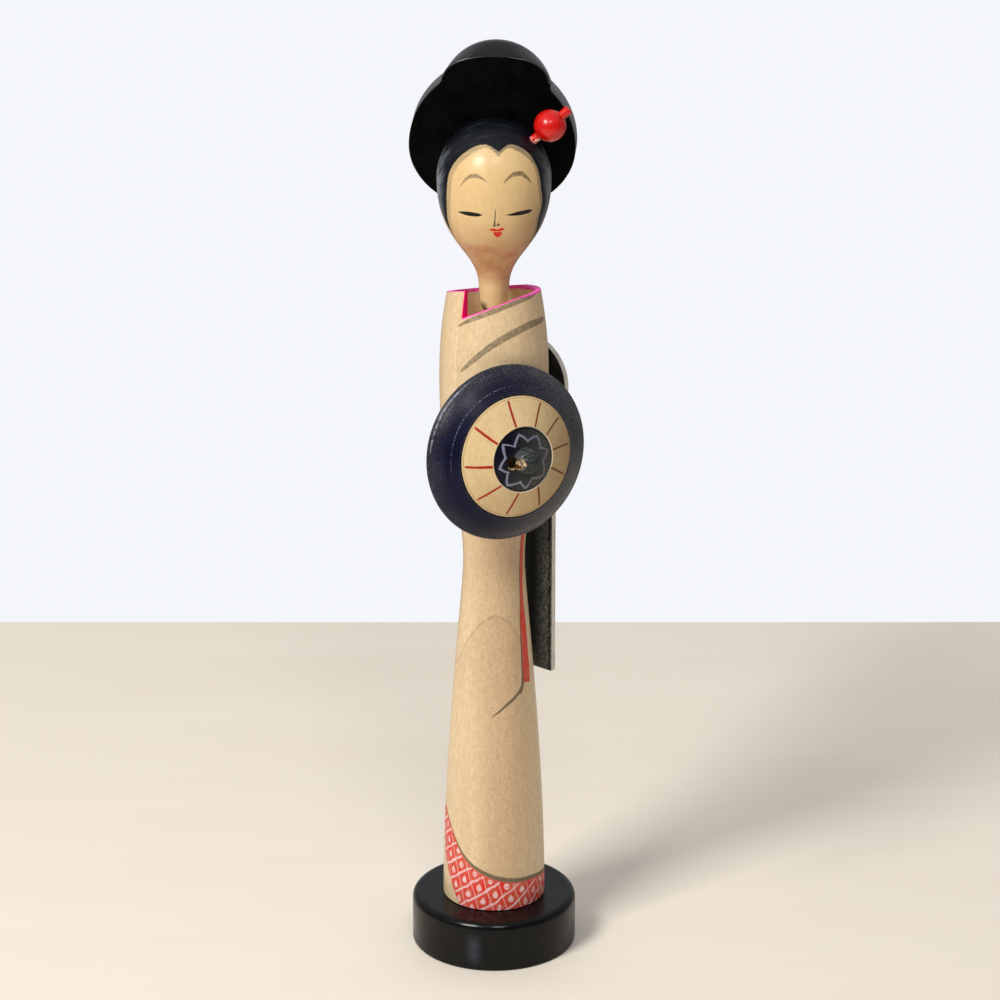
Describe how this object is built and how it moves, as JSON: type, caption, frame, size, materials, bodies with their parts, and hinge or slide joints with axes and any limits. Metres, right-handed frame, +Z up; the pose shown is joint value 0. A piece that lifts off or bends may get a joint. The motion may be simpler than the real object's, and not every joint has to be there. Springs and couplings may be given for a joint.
{
  "type": "kokeshi doll",
  "caption": "Slender turned wooden kokeshi doll in a painted kimono with a black hair board, a red hairpin, a black obi board and a turned umbrella, on a round base.",
  "frame": {"origin": "middle of the base's flat underside", "axes": "+Z up along the doll's axis, the face looks along -Y, +X to the doll's left hand"},
  "size_m": [0.054, 0.0656, 0.298],
  "materials": {
    "black_lacquer": "high-gloss black lacquer on turned wood",
    "dowel_wood": "plain unfinished hardwood dowel",
    "kimono_wood": "pale turned wood, thin wax, with painted collar edge, brush lines and hem",
    "obi_lacquer": "gloss black lacquer on thin board",
    "face_wood": "pale turned wood, waxed, with painted face and blue-black hair cap",
    "hair_black": "satin to gloss black paint on wood",
    "hairpin_red": "gloss red paint on wood, chipped at the hole",
    "umbrella_paint": "navy paint with a plain wood ring, red ribs and a grey zigzag, a little dust"
  },
  "bodies": {
    "figure": {"base": "black_lacquer", "foot_dowel": "dowel_wood", "body": "kimono_wood", "obi_board": "obi_lacquer", "obi_pegs": "obi_lacquer"},
    "head": {"head": "face_wood", "hair_wings": "hair_black", "hair_bun": "hair_black", "hair_pegs": "dowel_wood", "bun_peg": "dowel_wood"},
    "hairpin": {"hairpin_stick": "hairpin_red", "hairpin_bead": "hairpin_red"},
    "umbrella": {"umbrella_canopy": "umbrella_paint", "umbrella_handle": "umbrella_paint"}
  },
  "joints": [
    {"name": "head_turn", "type": "hinge", "parent": "figure", "child": "head", "pos_m": [0, 0, 0.2], "axis": [0, 0, 1], "continuous": true},
    {"name": "umbrella_turn", "type": "hinge", "parent": "figure", "child": "umbrella", "pos_m": [0.0036, -0.0235, 0.1774], "axis": [0.4814, -0.8685, 0.1184], "continuous": true},
    {"name": "hairpin_pull", "type": "slide", "parent": "head", "child": "hairpin", "axis": [0.7431, 0, 0.6691], "range_m": [0, 0.008]}
  ]
}
